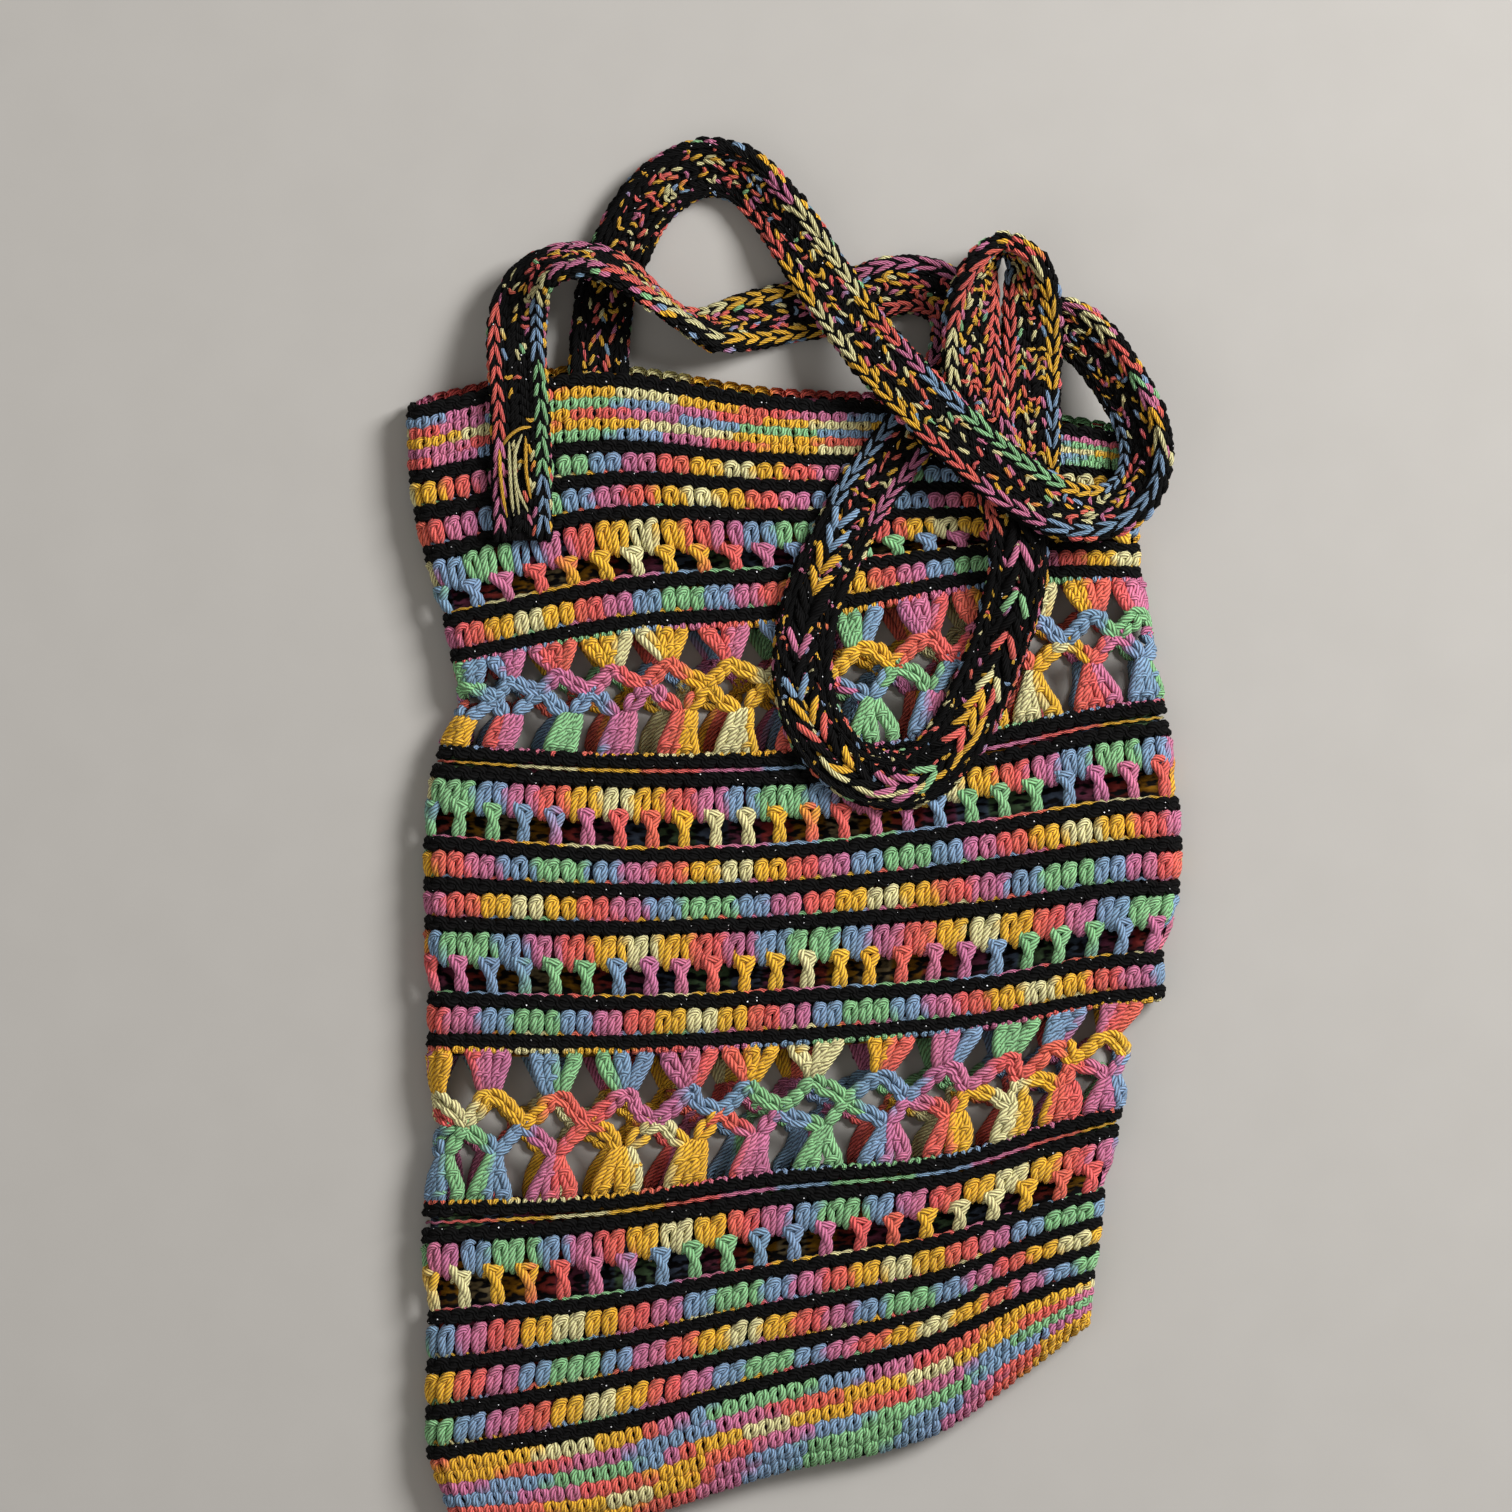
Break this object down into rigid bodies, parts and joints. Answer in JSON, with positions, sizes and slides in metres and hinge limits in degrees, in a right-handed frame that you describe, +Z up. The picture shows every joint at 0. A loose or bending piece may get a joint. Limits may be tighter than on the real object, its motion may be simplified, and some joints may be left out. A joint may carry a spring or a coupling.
{
  "type": "crochet tote bag",
  "caption": "Tote bag crocheted in the round with two openwork bands and two marled handles, laid flat on its back panel with the handles dropped over its mouth",
  "frame": {"origin": "on the underside of the back panel, on closed cloth near the middle of the bag, which lies flat on its back", "axes": "+X across the bag to the right as seen from above, +Y up the bag towards its mouth and handles, +Z up from the surface that it lies on, through the front panel"},
  "size_m": [0.3155, 0.5653, 0.0373],
  "materials": {
    "variegated_yarn": "matte cotton yarn dyed in short colour lengths, with rounds of black yarn",
    "marled_yarn": "matte black and variegated cotton yarns worked together"
  },
  "bodies": {
    "root": {"bag_body": "variegated_yarn", "front_handle": "marled_yarn", "back_handle": "marled_yarn"}
  },
  "joints": []
}
